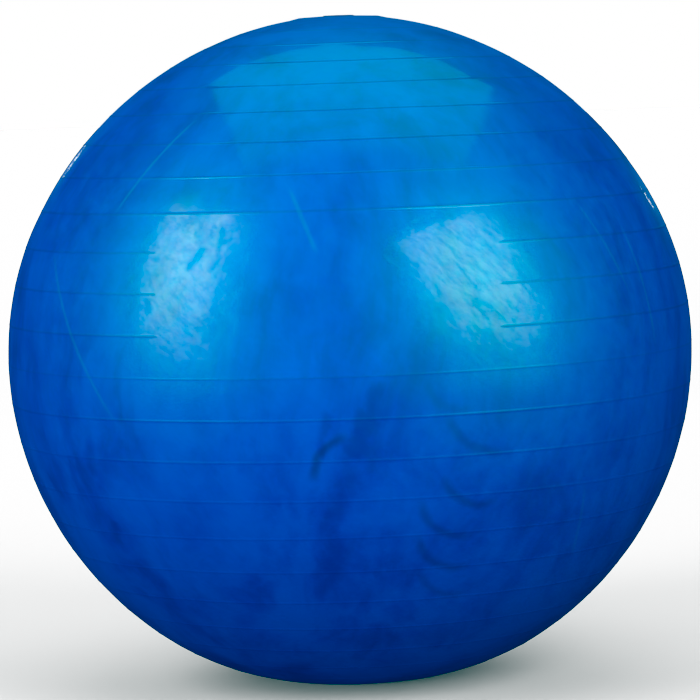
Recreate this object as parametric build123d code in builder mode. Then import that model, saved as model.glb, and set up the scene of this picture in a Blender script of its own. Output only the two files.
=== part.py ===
from build123d import *
import math
import os

# Exercise ball, inflated and resting on the floor.
# Frame: +Z up along the axis of the moulded rings, -Y towards the smooth label panel,
# origin at the centre of the flat patch that touches the floor.
# Lengths are millimetres, angles degrees.

# Skin
EQUATOR_RADIUS = 325.0
PATCH_RADIUS = 38.0
WALL = 0.95

# The outer meridian is a chain of tangent arcs. Each one ends where the skin's outward
# normal reaches the named angle, measured from the horizontal.
BASE_END = -55.0
SHOULDER_RADIUS = 296.0
SHOULDER_END = 26.0
FLANK_RADIUS = 338.0
FLANK_END = 71.0

# Moulded rings, one of them on the equator
RING_SPACING = 6.62
RINGS_PER_HALF = 11
RING_HEIGHT = 0.3
RING_WIDTH = 2.0

# Smooth label panel: the first rings above the equator stop at its sides
PANEL_HALF_WIDTH = 152.0
PANEL_RINGS = 3

# Valve seat, welded into a hole in the skin at the top pole
SEAT_RADIUS = 17.0
FLANGE_RADIUS = 24.0
FLANGE_THICKNESS = 1.8
SEAT_DEPTH = 4.4
SEAT_BEAD_RADIUS = 14.0
SEAT_BEAD_SECTION = 0.9
NECK_RADIUS = 8.0
NECK_LENGTH = 20.0
NECK_ROUNDING = 1.0
BORE_RADIUS = 5.1
BORE_LEAD_IN = 0.6
RECESS_RADIUS = 11.6
RECESS_DEPTH = 1.9
PRY_NOTCH_WIDTH = 5.0
PRY_NOTCH_LENGTH = 2.2

# Plug
STEM_CLEARANCE = 0.05
HEAD_GAP = 0.05
HEAD_RADIUS = 11.0
HEAD_EDGE = 1.0
HEAD_DOME = 0.7
HEAD_ROUNDING = 0.3
HEAD_DIMPLE_RADIUS = 3.5
HEAD_DIMPLE_DEPTH = 0.4
STEM_LENGTH = 22.0
STEM_CORE_RADIUS = 4.5
SEAL_COUNT = 3
SEAL_WIDTH = 2.0
SEAL_PITCH = 4.5
SEAL_CHAMFER = 0.4
FIRST_SEAL = 3.5
NOSE_LENGTH = 4.0
NOSE_RADIUS = 3.4
STEM_HOLLOW_RADIUS = 2.3
STEM_HOLLOW_DEPTH = 15.0


def polar(centre, radius, angle):
    """The point at a radius and angle from a centre, in the plane of the meridian."""
    x = centre[0] + radius * math.cos(math.radians(angle))
    z = centre[1] + radius * math.sin(math.radians(angle))
    return x, z


def meridian_arcs():
    """The arcs of the outer meridian, floor patch to pole: centre, radius, start and end angle."""
    belly_offset = PATCH_RADIUS / math.cos(math.radians(BASE_END))
    base_radius = EQUATOR_RADIUS - belly_offset
    base_centre = (PATCH_RADIUS, base_radius)
    belly_centre = polar(base_centre, -belly_offset, BASE_END)
    equator_height = belly_centre[1]
    shoulder_centre = (EQUATOR_RADIUS - SHOULDER_RADIUS, equator_height)
    flank_centre = polar(shoulder_centre, SHOULDER_RADIUS - FLANK_RADIUS, SHOULDER_END)
    flank_end_x = polar(flank_centre, FLANK_RADIUS, FLANK_END)[0]
    crown_radius = flank_end_x / math.cos(math.radians(FLANK_END))
    crown_centre = polar(flank_centre, FLANK_RADIUS - crown_radius, FLANK_END)
    return [
        (base_centre, base_radius, -90.0, BASE_END),
        (belly_centre, EQUATOR_RADIUS, BASE_END, 0.0),
        (shoulder_centre, SHOULDER_RADIUS, 0.0, SHOULDER_END),
        (flank_centre, FLANK_RADIUS, SHOULDER_END, FLANK_END),
        (crown_centre, crown_radius, FLANK_END, 90.0),
    ]


ARCS = meridian_arcs()
EQUATOR_CENTRE = ARCS[1][0]
CROWN_CENTRE, CROWN_RADIUS = ARCS[-1][:2]
POLE_HEIGHT = CROWN_CENTRE[1] + CROWN_RADIUS
RECESS_FLOOR = POLE_HEIGHT - RECESS_DEPTH


def half_section(inset):
    """The half section of the ball whose outline lies inset millimetres inside the skin."""
    with BuildSketch(Plane.XZ) as section:
        with BuildLine():
            Line((0, inset), (PATCH_RADIUS, inset))
            for centre, radius, start, end in ARCS:
                CenterArc(centre, radius - inset, start, end - start)
            Line((0, POLE_HEIGHT - inset), (0, inset))
        make_face()
    return section.sketch


def skin_point(latitude):
    """The point of the skin at a latitude, seen from the middle of the equator, and its normal."""
    ray = polar((0, 0), 1, latitude)
    for (x, z), radius, start, end in ARCS:
        centre = (x, z - EQUATOR_CENTRE[1])
        along = ray[0] * centre[0] + ray[1] * centre[1]
        reach = along + math.sqrt(along**2 - centre[0] ** 2 - centre[1] ** 2 + radius**2)
        point = (reach * ray[0], reach * ray[1])
        normal = math.degrees(math.atan2(point[1] - centre[1], point[0] - centre[0]))
        if start <= normal <= end:
            break
    return (point[0], point[1] + EQUATOR_CENTRE[1]), normal


# A ring's section is a circle sunk in the skin until its crest stands RING_HEIGHT proud.
RING_SECTION_RADIUS = (RING_HEIGHT**2 + (RING_WIDTH / 2) ** 2) / (2 * RING_HEIGHT)


def ring_centre(number):
    """Centre of the section of a ring, counted from the equator and upwards."""
    point, normal = skin_point(number * RING_SPACING)
    return polar(point, RING_HEIGHT - RING_SECTION_RADIUS, normal)


ring_numbers = range(-RINGS_PER_HALF, RINGS_PER_HALF + 1)
panel_ring_numbers = range(1, PANEL_RINGS + 1)
whole_ring_centres = [ring_centre(n) for n in ring_numbers if n not in panel_ring_numbers]
panel_ring_centres = [ring_centre(n) for n in panel_ring_numbers]

# The rings that stop at the sides of the label panel.
with BuildPart() as panel_rings:
    with BuildSketch(Plane.XZ):
        with Locations(*panel_ring_centres):
            Circle(RING_SECTION_RADIUS)
    revolve(axis=Axis.Z)
    with BuildSketch():
        Rectangle(2 * PANEL_HALF_WIDTH, 2 * EQUATOR_RADIUS, align=(Align.CENTER, Align.MAX))
    extrude(amount=POLE_HEIGHT, mode=Mode.SUBTRACT)

# Ball shell: one rotationally moulded skin with its rings, open only at the valve seat.
with BuildPart() as ball_shell:
    revolve(half_section(inset=0), axis=Axis.Z)
    with BuildSketch(Plane.XZ):
        with Locations(*whole_ring_centres):
            Circle(RING_SECTION_RADIUS)
    revolve(axis=Axis.Z)
    add(panel_rings)
    revolve(half_section(inset=WALL), axis=Axis.Z, mode=Mode.SUBTRACT)
    with BuildSketch(Plane.XY.offset(POLE_HEIGHT - NECK_LENGTH)):
        Circle(SEAT_RADIUS)
    extrude(amount=2 * NECK_LENGTH, mode=Mode.SUBTRACT)

# Valve seat: a thick disc flush with the skin, a flange welded under it and a neck with the bore.
with BuildPart() as valve_seat:
    with BuildSketch(Plane.XZ):
        with Locations(CROWN_CENTRE):
            Circle(CROWN_RADIUS)
        with Locations((0, POLE_HEIGHT)):
            Rectangle(SEAT_RADIUS, 2 * SEAT_DEPTH, align=(Align.MIN, Align.CENTER), mode=Mode.INTERSECT)
    revolve(axis=Axis.Z)
    with BuildSketch(Plane.XZ):
        with Locations(CROWN_CENTRE):
            Circle(CROWN_RADIUS - WALL)
            Circle(CROWN_RADIUS - WALL - FLANGE_THICKNESS, mode=Mode.SUBTRACT)
        with Locations((0, POLE_HEIGHT)):
            Rectangle(FLANGE_RADIUS, 2 * NECK_LENGTH, align=(Align.MIN, Align.CENTER), mode=Mode.INTERSECT)
    revolve(axis=Axis.Z)
    with BuildSketch(Plane.XY.offset(RECESS_FLOOR - NECK_LENGTH)):
        Circle(NECK_RADIUS)
    extrude(amount=NECK_LENGTH)
    fillet(valve_seat.faces().sort_by(Axis.Z)[0].edges(), NECK_ROUNDING)
    with BuildSketch(Plane.XZ):
        bead_slope = math.degrees(math.acos(SEAT_BEAD_RADIUS / CROWN_RADIUS))
        with Locations(polar(CROWN_CENTRE, CROWN_RADIUS, bead_slope)):
            Circle(SEAT_BEAD_SECTION / 2)
    revolve(axis=Axis.Z)
    with BuildSketch(Plane.XY.offset(RECESS_FLOOR)):
        Circle(RECESS_RADIUS)
        with Locations((0, RECESS_RADIUS)):
            SlotCenterToCenter(2 * PRY_NOTCH_LENGTH, PRY_NOTCH_WIDTH, rotation=90)
    extrude(amount=NECK_LENGTH, mode=Mode.SUBTRACT)
    with BuildSketch(Plane.XY.offset(RECESS_FLOOR)):
        Circle(BORE_RADIUS)
    extrude(amount=-NECK_LENGTH, mode=Mode.SUBTRACT)
    chamfer(
        valve_seat.edges()
        .filter_by(GeomType.CIRCLE)
        .filter_by(lambda edge: abs(edge.radius - BORE_RADIUS) < HEAD_GAP)
        .sort_by(Axis.Z)[-1],
        BORE_LEAD_IN,
    )

# Valve plug: a domed head over a hollow stem whose seals slide in the bore.
# The head's top is a dome HEAD_DOME higher in the middle than at its edge.
DOME_RADIUS = (HEAD_RADIUS**2 + HEAD_DOME**2) / (2 * HEAD_DOME)
head_base = RECESS_FLOOR + HEAD_GAP
stem_end = head_base - STEM_LENGTH
with BuildPart() as valve_plug:
    with BuildSketch(Plane.XZ) as head_section:
        with Locations((0, head_base + HEAD_EDGE + HEAD_DOME - DOME_RADIUS)):
            Circle(DOME_RADIUS)
        with Locations((0, head_base)):
            Rectangle(HEAD_RADIUS, DOME_RADIUS, align=Align.MIN, mode=Mode.INTERSECT)
        fillet(head_section.vertices().group_by(Axis.X)[-1], HEAD_ROUNDING)
    revolve(axis=Axis.Z)
    with BuildSketch(Plane.XZ):
        with BuildLine():
            Polyline(
                (0, head_base),
                (STEM_CORE_RADIUS, head_base),
                (STEM_CORE_RADIUS, stem_end + NOSE_LENGTH),
                (NOSE_RADIUS, stem_end),
                (0, stem_end),
                close=True,
            )
        make_face()
    revolve(axis=Axis.Z)
    for seal in range(SEAL_COUNT):
        seal_top = head_base - FIRST_SEAL - seal * SEAL_PITCH
        with BuildSketch(Plane.XY.offset(seal_top)):
            Circle(BORE_RADIUS - STEM_CLEARANCE)
        extrude(amount=-SEAL_WIDTH)
    seal_rims = valve_plug.edges().filter_by(GeomType.CIRCLE).filter_by(
        lambda edge: abs(edge.radius - BORE_RADIUS + STEM_CLEARANCE) < STEM_CLEARANCE / 2
    )
    chamfer(seal_rims, SEAL_CHAMFER)
    with BuildSketch(Plane.XY.offset(stem_end)):
        Circle(STEM_HOLLOW_RADIUS)
    extrude(amount=STEM_HOLLOW_DEPTH, mode=Mode.SUBTRACT)
    with BuildSketch(Plane.XY.offset(head_base + HEAD_EDGE + HEAD_DOME - HEAD_DIMPLE_DEPTH)):
        Circle(HEAD_DIMPLE_RADIUS)
    extrude(amount=2 * HEAD_DIMPLE_DEPTH, mode=Mode.SUBTRACT)

pieces = {
    "ball_shell": ball_shell,
    "valve_seat": valve_seat,
    "valve_plug": valve_plug,
}

os.makedirs("parts", exist_ok=True)
for name, piece in pieces.items():
    piece.part.label = name
    export_step(piece.part, f"parts/{name}.step")
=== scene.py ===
import math
import bpy
from mathutils import Matrix, Vector, noise


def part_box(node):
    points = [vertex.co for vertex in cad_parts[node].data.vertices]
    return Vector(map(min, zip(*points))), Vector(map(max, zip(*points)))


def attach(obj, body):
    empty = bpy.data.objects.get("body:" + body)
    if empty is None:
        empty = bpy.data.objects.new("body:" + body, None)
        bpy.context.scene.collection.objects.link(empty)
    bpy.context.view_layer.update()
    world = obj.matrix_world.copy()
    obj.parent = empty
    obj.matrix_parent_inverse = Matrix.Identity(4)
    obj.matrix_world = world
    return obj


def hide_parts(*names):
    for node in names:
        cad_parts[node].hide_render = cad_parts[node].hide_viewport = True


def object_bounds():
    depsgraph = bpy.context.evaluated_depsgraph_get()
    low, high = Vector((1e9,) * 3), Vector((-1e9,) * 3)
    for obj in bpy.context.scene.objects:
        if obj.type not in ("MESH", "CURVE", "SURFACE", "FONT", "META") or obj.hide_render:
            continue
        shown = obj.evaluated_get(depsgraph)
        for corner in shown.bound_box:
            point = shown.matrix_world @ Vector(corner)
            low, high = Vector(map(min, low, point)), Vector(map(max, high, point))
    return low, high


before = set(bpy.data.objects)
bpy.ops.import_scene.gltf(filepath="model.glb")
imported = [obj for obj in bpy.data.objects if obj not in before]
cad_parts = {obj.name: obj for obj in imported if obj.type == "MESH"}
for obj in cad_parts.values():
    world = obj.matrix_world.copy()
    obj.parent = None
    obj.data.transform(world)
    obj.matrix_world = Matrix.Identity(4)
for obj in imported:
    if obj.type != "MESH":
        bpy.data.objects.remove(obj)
cad_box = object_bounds()

# Places on the ball are given as (longitude, latitude) in degrees: longitude 0 is the front
# (-Y) and grows towards +X, latitude is seen from the middle of the equator. Lengths are metres.

# Rings, as in the design, but with soft edges, so they are a little lower and wider
CREST_HEIGHT = 0.0003
RING_HEIGHT = 0.0002
RING_WIDTH = 0.003
RING_SPACING = 6.62
RINGS_PER_HALF = 11
PANEL_HALF_WIDTH = 0.152
PANEL_RINGS = (1, 2, 3)
PARTING_SHARE = 0.5
RING_END_TAPER = 0.005

# Meridian of the skin, as in the design: radii, and the angles of the normal where its arcs end
PATCH_RADIUS = 0.038
SEAT_RADIUS = 0.017
WALL = 0.00095
EQUATOR_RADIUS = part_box("ball_shell")[1].x - CREST_HEIGHT
BASE_END = -55.0
SHOULDER_RADIUS = EQUATOR_RADIUS - 0.029
SHOULDER_END = 26.0
FLANK_RADIUS = EQUATOR_RADIUS + 0.013
FLANK_END = 71.0

# Unevenness of the skin. Its waves die out between two heights in ball radii, and a fold mark
# between two bearings from its middle, for its shade given as cosines.
WAVE_HEIGHT = 0.00035
RIPPLE_HEIGHT = 0.0003
CALM_CAPS = (0.90, 0.985)
DENT_HALF_WIDTH = 0.007
DENT_ENDS = (30, 80)
CRESCENT_ENDS = (0.65, 0.92)

# Mesh of the skin
ROW_STEP = 0.0065
RING_ROWS = (-1.5, -1.0, -0.5, 0.0, 0.5, 1.0, 1.5)
COLUMN_STEP = 360.0 / 264
FINE_COLUMN_STEP = COLUMN_STEP / 4
FINE_COLUMNS = (27.0, 33.0)
INNER_ROWS = 14

# Colours, from dark to pale where there are several
PEARL_BLUES = ((0.0, 0.032, 0.61), (0.0, 0.059, 0.82), (0.0, 0.093, 0.98))
# Painted shade along the crescent fold marks
CRESCENT_PAINTED_SHADE_BLUE = (0.0, 0.005, 0.2, 1)
# Painted shade on the rings
RING_PAINTED_SHADE_BLUE = (0.0, 0.01, 0.3, 1)
SCUFF_BLUE = (0.02, 0.3, 0.8, 1)
SEAT_BLUES = ((0.0, 0.05, 0.3, 1), (0.0, 0.08, 0.4, 1))
PLUG_WHITES = ((0.74, 0.69, 0.69, 1), (0.85, 0.79, 0.82, 1))
FLOOR_WHITES = ((0.86, 0.86, 0.86, 1), (0.9, 0.9, 0.9, 1))
GLOW_TINT = (0.0, 0.95, 0.84, 1.0)

# Offsets that pick the part of the noise used for the marbling and for the worn gloss
MARBLE_ORIGIN = (0.0, 5.7, 1.9)
GLOSS_ORIGIN = (0.6, 4.4, 2.2)

# Lights. Their distances are from the middle of the ball, and their light is short of blue.
FRONT_DISTANCE = 2.4
OVERHEAD_DISTANCE = 1.9
OUTER_DISTANCE = 2.6
LEFT_RADIANCE = 3.85
RIGHT_RADIANCE = 3.45
OVERHEAD_RADIANCE = 0.85
RIM_RADIANCE = 35.0
FRONT_FILL_RADIANCE = 6.3
BACK_FILL_RADIANCE = 1.2
LIGHT_BLUE = 0.76
STUDIO_COLOUR = (0.35, 0.32, 1.0, 1)
STUDIO_STRENGTH = 0.07
BLACK_LEVEL = (0.06, 0.0, 0.0)

# Camera and floor
CAMERA_AZIMUTH = 3.7
CAMERA_ELEVATION = 4.2
CAMERA_ROLL = -2.0
CAMERA_DISTANCE = 10.5 * EQUATOR_RADIUS
FRAME_FILL = 1.025
AIM_DROP = 0.0031
SENSOR_WIDTH = 36.0
FLOOR_REACH = 60.0


def polar(centre, radius, angle):
    """The point at a radius and angle in degrees from a centre, in the plane of the meridian."""
    turn = math.radians(angle)
    return centre[0] + radius * math.cos(turn), centre[1] + radius * math.sin(turn)


def meridian_arcs():
    """The tangent arcs of the meridian, floor patch to pole: centre, radius, start and end normal."""
    belly_offset = PATCH_RADIUS / math.cos(math.radians(BASE_END))
    base_radius = EQUATOR_RADIUS - belly_offset
    base = (PATCH_RADIUS, base_radius)
    belly = polar(base, -belly_offset, BASE_END)
    shoulder = (EQUATOR_RADIUS - SHOULDER_RADIUS, belly[1])
    flank = polar(shoulder, SHOULDER_RADIUS - FLANK_RADIUS, SHOULDER_END)
    crown_radius = polar(flank, FLANK_RADIUS, FLANK_END)[0] / math.cos(math.radians(FLANK_END))
    crown = polar(flank, FLANK_RADIUS - crown_radius, FLANK_END)
    return [
        (base, base_radius, -90.0, BASE_END),
        (belly, EQUATOR_RADIUS, BASE_END, 0.0),
        (shoulder, SHOULDER_RADIUS, 0.0, SHOULDER_END),
        (flank, FLANK_RADIUS, SHOULDER_END, FLANK_END),
        (crown, crown_radius, FLANK_END, 90.0),
    ]


ARCS = meridian_arcs()
MIDDLE = Vector((0, 0, ARCS[1][0][1]))


def smooth(low, high, value):
    """0 below low, 1 above high and an S-curve between."""
    share = min(max((value - low) / (high - low), 0.0), 1.0)
    return share * share * (3 - 2 * share)


def normal_at(latitude):
    """Angle of the meridian's normal at a latitude."""
    ray = polar((0, 0), 1, latitude)
    for centre, radius, start, end in ARCS:
        x, z = centre[0], centre[1] - MIDDLE.z
        along = ray[0] * x + ray[1] * z
        reach = along + math.sqrt(along**2 - x**2 - z**2 + radius**2)
        normal = math.degrees(math.atan2(reach * ray[1] - z, reach * ray[0] - x))
        if start <= normal <= end:
            return normal
    return 90.0


def meridian_point(normal, inset=0.0):
    """Radius and height of the meridian where its normal has this angle."""
    for centre, radius, start, end in ARCS:
        if normal <= end:
            return polar(centre, radius - inset, normal)


def arc_radius(normal):
    """Radius of the meridian's arc at this normal."""
    return next(radius for _, radius, _, end in ARCS if normal <= end)


def direction(longitude, latitude):
    """Unit vector from the middle of the ball towards a place on it."""
    lon, lat = math.radians(longitude), math.radians(latitude)
    return Vector((math.sin(lon) * math.cos(lat), -math.cos(lon) * math.cos(lat), math.sin(lat)))


def skin_rows():
    """Rows of the skin's mesh from the patch to the seat: normal, ring or None, offset from its crest.

    The normal is in degrees, and the offset is a share of the ring's half width.
    """
    rings = {n: normal_at(n * RING_SPACING) for n in range(-RINGS_PER_HALF, RINGS_PER_HALF + 1)}
    top = math.degrees(math.acos(SEAT_RADIUS / ARCS[-1][1]))
    stops = [-90.0] + [rings[n] for n in sorted(rings)] + [top]
    half = RING_WIDTH / 2
    margin = half * RING_ROWS[-1]
    rows = []
    for i, (low, high) in enumerate(zip(stops, stops[1:])):
        radius = arc_radius((low + high) / 2)
        reach = math.degrees(margin / radius)
        if i > 0:
            low += reach
        if i < len(stops) - 2:
            high -= reach
        count = max(1, round(math.radians(high - low) * radius / ROW_STEP))
        first = 1 if i > 0 else 0
        last = count if i < len(stops) - 2 else count + 1
        rows += [(low + (high - low) * k / count, None, 0.0) for k in range(first, last)]
        if i < len(stops) - 2:
            ring = sorted(rings)[i]
            for share in RING_ROWS:
                rows.append((rings[ring] + math.degrees(share * half / radius), ring, share))
    return rows


def skin_columns():
    """Longitudes of the mesh's columns, finer where the rings end beside the label panel."""
    columns = []
    longitude = -180.0
    while longitude < 180.0 - COLUMN_STEP / 2:
        columns.append(longitude)
        fine = FINE_COLUMNS[0] <= abs(longitude + COLUMN_STEP / 2) <= FINE_COLUMNS[1]
        longitude += FINE_COLUMN_STEP if fine else COLUMN_STEP
    return columns


def dent_depth(place, dent):
    """Depth at a point of the unit ball of one crescent-shaped fold mark."""
    (longitude, latitude), radius, turn, depth, _ = dent
    centre = direction(longitude, latitude)
    east = Vector((-centre.y, centre.x, 0)).normalized()
    north = centre.cross(east)
    away = (place - centre) * EQUATOR_RADIUS
    if away.length > 2 * radius:
        return 0.0
    bearing = math.degrees(math.atan2(away.dot(north), away.dot(east)))
    off = abs((bearing - turn + 180) % 360 - 180)
    band = math.exp(-(((away.length - radius) / DENT_HALF_WIDTH) ** 2))
    return depth * band * (1 - smooth(*DENT_ENDS, off))


# Crescent fold marks low on the front, dented, with painted shade along them: centre, radius, bearing of
# their middle, depth, darkness of the painted shade
DENTS = [
    ((21.2, 0.5), 0.036, 240, 0.0002, 0.4),
    ((27.1, -4.2), 0.050, 239, 0.0003, 0.6),
    ((25.7, -14.0), 0.044, 242, 0.0003, 0.7),
    ((23.2, -19.1), 0.046, 234, 0.0003, 0.7),
    ((23.3, -25.0), 0.047, 236, 0.0003, 0.7),
    ((24.3, -31.2), 0.045, 239, 0.0003, 0.5),
    ((3.9, -15.8), 0.037, 141, 0.0004, 1.0),
]

# Pale scuffs on the gloss: start, end, half width, strength
SCUFFS = [
    ((-31.2, 45.9), (-42.5, 25.9), 0.0025, 0.8),
    ((-6.6, 31.1), (-1.0, 18.8), 0.0035, 0.6),
    ((-58.0, 20.4), (-36.2, -8.2), 0.0030, 0.5),
    ((59.2, 22.6), (62.5, 0.5), 0.0025, 0.5),
    ((48.8, 27.1), (56.7, 8.7), 0.0025, 0.4),
    ((46.1, -19.8), (49.7, -34.0), 0.0030, 0.3),
]

# Dark streaks in the base colour: start, end, half width, strength
STREAKS = [
    ((3.1, -13.1), (-5.1, -41.6), 0.022, 0.8),
    ((7.4, 0.5), (5.6, -9.0), 0.010, 0.9),
    ((5.6, -3.9), (3.6, -12.5), 0.011, 1.0),
    ((-0.7, -5.0), (-1.2, -12.6), 0.009, 0.8),
    ((-6.1, -16.5), (-7.3, -28.4), 0.010, 0.4),
    ((-34.5, 5.4), (-36.6, -8.5), 0.007, 0.4),
    ((-43.9, -8.1), (-45.1, -18.1), 0.010, 0.4),
    ((-43.2, -23.2), (-45.8, -30.1), 0.007, 0.5),
    ((-34.5, -18.3), (-32.7, -31.8), 0.010, 0.45),
    ((7.7, 39.7), (4.1, 16.9), 0.020, 0.3),
]

# Dull marks in the gloss: start, end, half width, strength
DULL_MARKS = [
    ((-23.6, 16.4), (-20.6, 21.1), 0.0065, 0.8),
    ((-17.8, 24.8), (-18.0, 19.1), 0.0055, 0.6),
    ((-19.4, 16.5), (-17.3, 18.8), 0.0050, 0.5),
    ((21.0, 17.6), (25.1, 12.1), 0.0030, 0.5),
    ((18.6, 22.0), (23.0, 16.4), 0.0030, 0.4),
]


def ring_share(place, ring, share):
    """How much of a ring's full height a vertex has: 1 on its crest, 0 off it and on the panel."""
    if ring is None:
        return 0.0
    height = 0.5 * (1 + math.cos(math.pi * min(1.0, abs(share))))
    if ring == 0:
        height *= PARTING_SHARE
    if ring in PANEL_RINGS and place.y < 0:
        side = abs(place.x) * EQUATOR_RADIUS - PANEL_HALF_WIDTH
        height *= smooth(-RING_END_TAPER / 2, RING_END_TAPER / 2, side)
    return height


def membrane_offset(place):
    """How far the skin stands out from the smooth meridian: long waves, ripples and fold marks."""
    calm = 1 - smooth(*CALM_CAPS, abs(place.z))
    wave = WAVE_HEIGHT * noise.noise(place * 3.1) + RIPPLE_HEIGHT * noise.noise(place * 11.0)
    return calm * wave - sum(dent_depth(place, dent) for dent in DENTS)


def make_skin():
    """The ball's skin as one closed mesh: outer face, rim at the valve seat and inner face."""
    columns = skin_columns()
    around = len(columns)
    vertices = []
    rings = []
    crests = []

    def add_ring(radius, height, slope=0.0, ring=None, share=0.0, wavy=False):
        rings.append(len(vertices))
        for longitude in columns:
            lon = math.radians(longitude)
            out = Vector((math.sin(lon), -math.cos(lon), 0))
            point = out * radius + Vector((0, 0, height))
            place = (point - MIDDLE) / EQUATOR_RADIUS
            crest = ring_share(place, ring, share)
            if wavy:
                normal = out * math.cos(slope) + Vector((0, 0, math.sin(slope)))
                point += normal * (membrane_offset(place) + RING_HEIGHT * crest)
            vertices.append(point)
            crests.append(crest)

    for normal, ring, share in skin_rows():
        radius, height = meridian_point(normal)
        add_ring(radius, height, math.radians(normal), ring, share, wavy=True)
    top = math.degrees(math.acos(SEAT_RADIUS / ARCS[-1][1]))
    for k in range(INNER_ROWS + 1):
        radius, height = meridian_point(top + (-90.0 - top) * k / INNER_ROWS, WALL)
        add_ring(max(radius, PATCH_RADIUS), max(height, WALL))
    faces = []
    for low, high in zip(rings, rings[1:]):
        for k in range(around):
            following = (k + 1) % around
            faces.append((low + k, low + following, high + following, high + k))
    floor_middle = len(vertices)
    vertices.append(Vector((0, 0, 0)))
    inner_middle = len(vertices)
    vertices.append(Vector((0, 0, WALL)))
    for k in range(around):
        following = (k + 1) % around
        faces.append((floor_middle, rings[0] + following, rings[0] + k))
        faces.append((inner_middle, rings[-1] + k, rings[-1] + following))
    mesh = bpy.data.meshes.new("ball_skin")
    mesh.from_pydata(vertices, [], faces)
    mesh.polygons.foreach_set("use_smooth", [True] * len(mesh.polygons))
    crests += [0.0] * (len(vertices) - len(crests))
    mesh.attributes.new("ring_crest", "FLOAT", "POINT").data.foreach_set("value", crests)
    mesh.update()
    skin = bpy.data.objects.new("ball_skin", mesh)
    bpy.context.scene.collection.objects.link(skin)
    return skin


class Nodes:
    """A small helper that adds nodes to a node tree and links them as they are made."""

    def __init__(self, tree, shader=None):
        self.tree = tree
        self.shader = tree.nodes.get(shader)

    def connect(self, value, socket):
        if isinstance(value, bpy.types.NodeSocket):
            self.tree.links.new(value, socket)
        else:
            socket.default_value = value

    def add(self, kind, inputs=(), **settings):
        node = self.tree.nodes.new(kind)
        for key, value in settings.items():
            setattr(node, key, value)
        for key, value in dict(inputs).items():
            self.connect(value, node.inputs[key])
        return node

    def math(self, operation, first, second=0.0, clamp=False):
        values = {0: first, 1: second}
        return self.add("ShaderNodeMath", values, operation=operation, use_clamp=clamp).outputs[0]

    def vector(self, operation, first, second=(0.0, 0.0, 0.0)):
        inputs = {0: first, "Scale" if operation == "SCALE" else 1: second}
        node = self.add("ShaderNodeVectorMath", inputs, operation=operation)
        return node.outputs["Value" if operation in ("DOT_PRODUCT", "LENGTH") else "Vector"]

    def most(self, values):
        largest = values[0]
        for value in values[1:]:
            largest = self.math("MAXIMUM", largest, value)
        return largest

    def noise(self, vector, scale, detail=4.0, roughness=0.55, distortion=0.0):
        inputs = {
            "Vector": vector,
            "Scale": scale,
            "Detail": detail,
            "Roughness": roughness,
            "Distortion": distortion,
        }
        return self.add("ShaderNodeTexNoise", inputs)

    def ramp(self, value, low, high, to_low=0.0, to_high=1.0):
        inputs = {"Value": value, "From Min": low, "From Max": high, "To Min": to_low, "To Max": to_high}
        return self.add("ShaderNodeMapRange", inputs, interpolation_type="SMOOTHSTEP").outputs[0]

    def mix(self, share, first, second):
        node = self.add("ShaderNodeMix", {"Factor": share}, data_type="RGBA")
        self.connect(first, node.inputs[6])
        self.connect(second, node.inputs[7])
        return node.outputs[2]

    def colours(self, value, stops):
        stops = list(stops)
        node = self.add("ShaderNodeValToRGB", {"Fac": value})
        elements = node.color_ramp.elements
        while len(elements) < len(stops):
            elements.new(0.5)
        for element, (position, colour) in zip(elements, stops):
            element.position = position
            element.color = (*colour, 1)
        return node.outputs[0]

    def bump(self, height, strength, distance, normal=None):
        inputs = {"Height": height, "Strength": strength, "Distance": distance}
        if normal is not None:
            inputs["Normal"] = normal
        return self.add("ShaderNodeBump", inputs).outputs[0]

    def set(self, **sockets):
        for name, value in sockets.items():
            self.connect(value, self.shader.inputs[name.replace("_", " ")])


def crescent_shade_mask(n, place, dent):
    """A soft arc on the skin along a fold mark of the deflated ball, where the base colour is darkened
    as painted shade in the crease.
    """
    (longitude, latitude), radius, turn, _, darkness = dent
    out = direction(longitude, latitude)
    east = Vector((-out.y, out.x, 0)).normalized()
    north = out.cross(east)
    bearing = math.radians(turn)
    towards = east * math.cos(bearing) + north * math.sin(bearing)
    centre = MIDDLE + out * EQUATOR_RADIUS
    away = n.vector("SUBTRACT", place, centre)
    gap = n.math("ABSOLUTE", n.math("SUBTRACT", n.vector("LENGTH", away), radius))
    line = n.ramp(gap, DENT_HALF_WIDTH, 0.0)
    side = n.vector("DOT_PRODUCT", n.vector("NORMALIZE", away), towards)
    return n.math("MULTIPLY", n.math("MULTIPLY", line, n.ramp(side, *CRESCENT_ENDS)), darkness)


def line_mask(n, place, line):
    """A straight mark on the skin, 1 along the middle of its line and fading to its ends."""
    start, end, half_width, strength = line
    first, last = direction(*start), direction(*end)
    across = first.cross(last).normalized()
    middle = (first + last).normalized()
    ray = n.vector("NORMALIZE", n.vector("SUBTRACT", place, MIDDLE))
    gap = n.math("ABSOLUTE", n.vector("DOT_PRODUCT", ray, across))
    reach = middle.dot(first)
    along = n.ramp(n.vector("DOT_PRODUCT", ray, middle), reach, 0.3 * reach + 0.7)
    width = n.ramp(gap, half_width / EQUATOR_RADIUS, 0.0)
    return n.math("MULTIPLY", n.math("MULTIPLY", width, along), strength)


def new_material(name):
    """A new material and the helper for its nodes."""
    material = bpy.data.materials.new(name)
    material.use_nodes = True
    return material, Nodes(material.node_tree, "Principled BSDF")


def shifted(n, place, scale, detail, reach):
    """The place moved about by noise, up to half of reach each way."""
    shift = n.noise(place, scale, detail).outputs["Color"]
    shift = n.vector("SUBTRACT", shift, (0.5, 0.5, 0.5))
    return n.vector("ADD", place, n.vector("SCALE", shift, reach))


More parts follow.
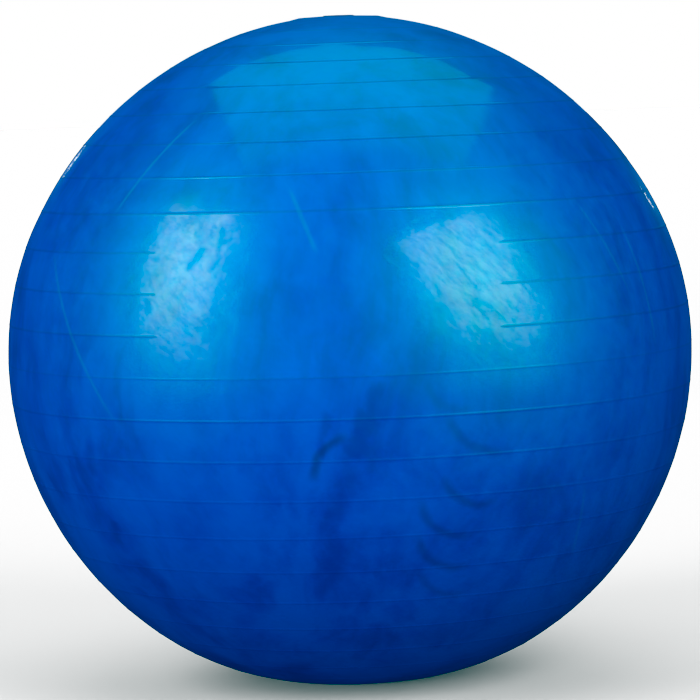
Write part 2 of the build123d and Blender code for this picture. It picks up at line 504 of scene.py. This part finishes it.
def pearl_colour(n, place, height, ring):
    """Base colour of the skin: marbled pearl pigment, dark streaks, painted shade along the fold marks
    and on the rings, and scuffs.
    """
    warped = shifted(n, n.vector("ADD", place, MARBLE_ORIGIN), 3.2, 3.0, 0.16)
    smeared = shifted(n, place, 18.0, 4.0, 0.035)
    streaks = n.noise(n.vector("MULTIPLY", warped, (1.0, 1.0, 0.3)), 22.0, 5.0, 0.62).outputs["Fac"]
    clouds = n.noise(warped, 7.5, 7.0, 0.62).outputs["Fac"]
    marble = n.math("ADD", n.math("MULTIPLY", streaks, 0.6), n.math("MULTIPLY", clouds, 0.4))
    smears = n.most([line_mask(n, smeared, streak) for streak in STREAKS])
    marble = n.math("SUBTRACT", marble, n.math("MULTIPLY", smears, 0.16))
    colour = n.colours(n.ramp(marble, 0.31, 0.61), zip((0.0, 0.5, 1.0), PEARL_BLUES))
    uneven = shifted(n, place, 40.0, 3.0, 0.008)
    painted_crescent_shade = n.most([crescent_shade_mask(n, uneven, dent) for dent in DENTS])
    scuffs = n.most([line_mask(n, place, scuff) for scuff in SCUFFS])
    # Painted shade: the base colour is darkened along the crescent fold marks, in their creases.
    colour = n.mix(n.math("MULTIPLY", painted_crescent_shade, 0.55), colour, CRESCENT_PAINTED_SHADE_BLUE)
    # Painted shade: the rings are darkened in the base colour, more above the middle, for the dark lines
    # that the ridges show in the highlights.
    ring_painted_shade = n.math("MULTIPLY", ring, n.ramp(height, 0.2, 0.34, 0.1, 0.3))
    colour = n.mix(ring_painted_shade, colour, RING_PAINTED_SHADE_BLUE)
    return n.mix(n.math("MULTIPLY", scuffs, 0.5), colour, SCUFF_BLUE)


def gloss_weight(n, place, ring, glancing):
    """Weight of the clear gloss: even at the top, worn in puffs on the left and in wisps on the right.

    The rings and a few marks are duller, and the gloss fades towards the outline, so that lights
    behind the ball don't glare there.
    """
    east, _, height = n.add("ShaderNodeSeparateXYZ", {0: place}).outputs
    ragged = shifted(n, place, 70.0, 3.0, 0.006)
    uneven = shifted(n, n.vector("ADD", place, GLOSS_ORIGIN), 40.0, 3.0, 0.008)
    slanted = n.add("ShaderNodeMapping", {0: uneven, "Rotation": (0.0, math.radians(-40), 0.0)})
    slanted = n.vector("MULTIPLY", slanted.outputs[0], (0.25, 1.0, 1.0))
    wisps = n.noise(slanted, 48.0, 5.0, 0.65).outputs["Fac"]
    puffs = n.noise(uneven, 17.0, 6.0, 0.6, 0.6).outputs["Fac"]
    fine = n.noise(slanted, 190.0, 5.0, 0.7).outputs["Fac"]
    worn = n.mix(n.ramp(east, -0.03, 0.03), puffs, wisps)
    worn = n.math("MULTIPLY", n.ramp(worn, 0.38, 0.52, 0.5, 0.95), n.ramp(fine, 0.35, 0.6, 0.55, 1.0))
    marks = n.most([line_mask(n, ragged, mark) for mark in DULL_MARKS])
    worn = n.math("MULTIPLY", worn, n.math("SUBTRACT", 1.0, marks))
    gloss = n.math("MAXIMUM", worn, n.ramp(height, 0.44, 0.5, 0.0, 0.85))
    gloss = n.math("MULTIPLY", gloss, n.ramp(ring, 0.0, 1.0, 1.0, 0.25))
    return n.math("MULTIPLY", gloss, n.ramp(glancing, 0.5, 0.74, 1.0, 0.08))


def skin_material():
    """Pearlescent blue vinyl with a soft sheen, under a clear gloss that is worn in places."""
    material, n = new_material("pearl_blue_vinyl")
    place = n.add("ShaderNodeTexCoord").outputs["Object"]
    height = n.add("ShaderNodeSeparateXYZ", {0: place}).outputs["Z"]
    glancing = n.add("ShaderNodeLayerWeight").outputs["Facing"]
    crest = n.add("ShaderNodeAttribute", attribute_name="ring_crest").outputs["Fac"]
    ring = n.ramp(crest, 0.0, 0.7)
    flakes = n.noise(place, 90.0, 4.0, 0.6).outputs["Fac"]
    unevenness = n.noise(place, 24.0, 3.0, 0.6).outputs["Fac"]
    n.set(
        Base_Color=pearl_colour(n, place, height, ring),
        Roughness=n.ramp(flakes, 0.3, 0.7, 0.46, 0.54),
        IOR=2.4,
        Specular_IOR_Level=0.75,
        Specular_Tint=GLOW_TINT,
        Coat_Weight=gloss_weight(n, place, ring, glancing),
        Coat_Roughness=0.08,
        Coat_IOR=1.58,
        Coat_Normal=n.bump(unevenness, n.ramp(height, 0.42, 0.48, 0.6, 0.08), 0.0016),
    )
    return material


def seat_material():
    """Plain moulded blue vinyl of the valve seat, a little darker and duller than the skin."""
    material, n = new_material("blue_vinyl_insert")
    place = n.add("ShaderNodeTexCoord").outputs["Object"]
    grain = n.noise(place, 900.0, 3.0).outputs["Fac"]
    cloud = n.noise(place, 90.0, 4.0).outputs["Fac"]
    n.set(
        Base_Color=n.mix(n.ramp(cloud, 0.35, 0.65), *SEAT_BLUES),
        Roughness=n.ramp(cloud, 0.3, 0.7, 0.3, 0.42),
        Coat_Weight=0.4,
        Coat_Roughness=0.15,
        Normal=n.bump(grain, 0.3, 0.0002),
    )
    return material


def plug_material():
    """Off-white soft plastic of the plug, faintly mottled, with a fine moulded grain."""
    material, n = new_material("white_soft_plastic")
    place = n.add("ShaderNodeTexCoord").outputs["Object"]
    grain = n.noise(place, 1200.0, 3.0).outputs["Fac"]
    cloud = n.noise(place, 140.0, 4.0).outputs["Fac"]
    n.set(
        Base_Color=n.mix(n.ramp(cloud, 0.35, 0.65), *PLUG_WHITES),
        Roughness=n.ramp(cloud, 0.3, 0.7, 0.36, 0.5),
        Subsurface_Weight=0.15,
        Subsurface_Radius=(0.002, 0.0018, 0.0014),
        Normal=n.bump(grain, 0.25, 0.0002),
    )
    return material


def floor_material():
    """Pale matt floor with a barely visible mottling."""
    material, n = new_material("pale_floor")
    place = n.add("ShaderNodeTexCoord").outputs["Object"]
    cloud = n.noise(place, 3.0, 4.0).outputs["Fac"]
    n.set(
        Base_Color=n.mix(cloud, *FLOOR_WHITES),
        Roughness=0.8,
    )
    return material


def softbox(name, place, size, radiance, fade=None, lean=0.0, red=1.0):
    """A rectangular light that faces the middle of the ball, short of blue and, below 1, of red.

    Its place is a longitude, latitude and distance, and its size a width and height. Its light
    fades towards its sides, lower and upper edge over the shares of its size given by fade. Its
    top is shifted sideways against its bottom by lean, a share of its width.
    """
    longitude, latitude, distance = place
    width, height = size
    light = bpy.data.lights.new(name, "AREA")
    light.shape = "RECTANGLE"
    light.size = width
    light.size_y = height
    light.energy = radiance * math.pi * width * height
    light.color = (red, 1.0, LIGHT_BLUE)
    if fade:
        sides, lower, upper = fade
        light.use_nodes = True
        n = Nodes(light.node_tree, "Emission")
        spot = n.add("ShaderNodeNewGeometry").outputs["Parametric"]
        across, up, _ = n.add("ShaderNodeSeparateXYZ", {0: spot}).outputs
        across = n.math("ADD", across, n.math("MULTIPLY", n.math("SUBTRACT", up, 0.5), lean))
        middle = n.ramp(n.math("MINIMUM", across, n.math("SUBTRACT", 1.0, across)), 0.0, sides)
        ends = n.math("MULTIPLY", n.ramp(up, 0.0, lower), n.ramp(up, 1.0, 1.0 - upper))
        n.set(Strength=n.math("MULTIPLY", middle, ends))
    lamp = bpy.data.objects.new(name, light)
    away = direction(longitude, latitude)
    lamp.location = MIDDLE + away * distance
    lamp.rotation_mode = "QUATERNION"
    lamp.rotation_quaternion = away.to_track_quat("Z", "Y")
    bpy.context.scene.collection.objects.link(lamp)
    return lamp


def make_lights():
    """Two tall softboxes in front, a wide one overhead, two slim ones behind and two plain fills.

    The overhead softbox looks straight down, with its sides square to the camera. The fills don't
    show in the gloss.
    """
    azimuth = CAMERA_AZIMUTH
    place = (azimuth - 56.5, 19, FRONT_DISTANCE)
    softbox("left_softbox", place, (1.9, 3.0), LEFT_RADIANCE, (0.42, 0.65, 0.12), 0.2)
    place = (azimuth + 45, 16.5, FRONT_DISTANCE)
    softbox("right_softbox", place, (2.25, 2.9), RIGHT_RADIANCE, (0.35, 0.6, 0.1), 0.24, 0.9)
    place = (azimuth + 147, 83, OVERHEAD_DISTANCE)
    fade = (0.05, 0.3, 0.01)
    overhead = softbox("overhead_softbox", place, (2.2, 2.2), OVERHEAD_RADIANCE, fade, red=0.5)
    overhead.rotation_quaternion = Matrix.Rotation(math.radians(azimuth), 3, "Z").to_quaternion()
    softbox("left_rim_light", (azimuth - 161, 10, OUTER_DISTANCE), (0.05, 0.1), RIM_RADIANCE)
    softbox("right_rim_light", (azimuth + 153, 9, OUTER_DISTANCE), (0.05, 0.1), RIM_RADIANCE)
    place = (azimuth - 18, 1, OUTER_DISTANCE)
    front_fill = softbox("front_fill", place, (3.0, 0.6), FRONT_FILL_RADIANCE)
    place = (azimuth + 180, 25, OUTER_DISTANCE)
    back_fill = softbox("back_fill", place, (3.0, 2.0), BACK_FILL_RADIANCE)
    for fill in (front_fill, back_fill):
        fill.visible_glossy = False


def make_world():
    """A white background for the camera and a dim studio for everything else."""
    world = bpy.data.worlds.new("studio")
    bpy.context.scene.world = world
    world.use_nodes = True
    tree = world.node_tree
    tree.nodes.clear()
    seen = tree.nodes.new("ShaderNodeBackground")
    seen.inputs["Color"].default_value = (1, 1, 1, 1)
    dim = tree.nodes.new("ShaderNodeBackground")
    dim.inputs["Color"].default_value = STUDIO_COLOUR
    dim.inputs["Strength"].default_value = STUDIO_STRENGTH
    rays = tree.nodes.new("ShaderNodeLightPath")
    mix = tree.nodes.new("ShaderNodeMixShader")
    out = tree.nodes.new("ShaderNodeOutputWorld")
    tree.links.new(rays.outputs["Is Camera Ray"], mix.inputs[0])
    tree.links.new(dim.outputs[0], mix.inputs[1])
    tree.links.new(seen.outputs[0], mix.inputs[2])
    tree.links.new(mix.outputs[0], out.inputs["Surface"])


def make_floor():
    """A wide pale floor. It takes shadows, but doesn't shine back on the ball."""
    mesh = bpy.data.meshes.new("floor")
    reach = FLOOR_REACH
    corners = [(-reach, -reach, 0), (reach, -reach, 0), (reach, reach, 0), (-reach, reach, 0)]
    mesh.from_pydata(corners, [], [(0, 1, 2, 3)])
    floor = bpy.data.objects.new("floor", mesh)
    bpy.context.scene.collection.objects.link(floor)
    mesh.materials.append(floor_material())
    floor.is_shadow_catcher = True
    floor.visible_glossy = False
    floor.visible_diffuse = False


def make_camera():
    """A long lens, a little above the middle of the ball and to the right of its label panel."""
    low, high = cad_box
    centre = (low + high) / 2
    back = direction(CAMERA_AZIMUTH, CAMERA_ELEVATION)
    data = bpy.data.cameras.new("camera")
    camera = bpy.data.objects.new("camera", data)
    camera.location = centre - Vector((0, 0, AIM_DROP)) + back * CAMERA_DISTANCE
    camera.rotation_mode = "QUATERNION"
    upright = back.to_track_quat("Z", "Y")
    roll = Matrix.Rotation(math.radians(CAMERA_ROLL), 3, "Z").to_quaternion()
    camera.rotation_quaternion = upright @ roll
    half_angle = math.asin(EQUATOR_RADIUS / CAMERA_DISTANCE)
    data.sensor_width = SENSOR_WIDTH
    data.lens = SENSOR_WIDTH / 2 / (math.tan(half_angle) * FRAME_FILL)
    bpy.context.scene.collection.objects.link(camera)
    bpy.context.scene.camera = camera


skin = make_skin()
skin.data.materials.append(skin_material())
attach(skin, "ball")
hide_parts("ball_shell")

for node, material in (("valve_seat", seat_material()), ("valve_plug", plug_material())):
    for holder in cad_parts[node].material_slots:
        holder.link = "OBJECT"
        holder.material = material

make_camera()
make_lights()
make_world()
make_floor()
view = bpy.context.scene.view_settings
view.view_transform = "Standard"
view.use_curve_mapping = True
view.curve_mapping.black_level = BLACK_LEVEL
view.curve_mapping.update()
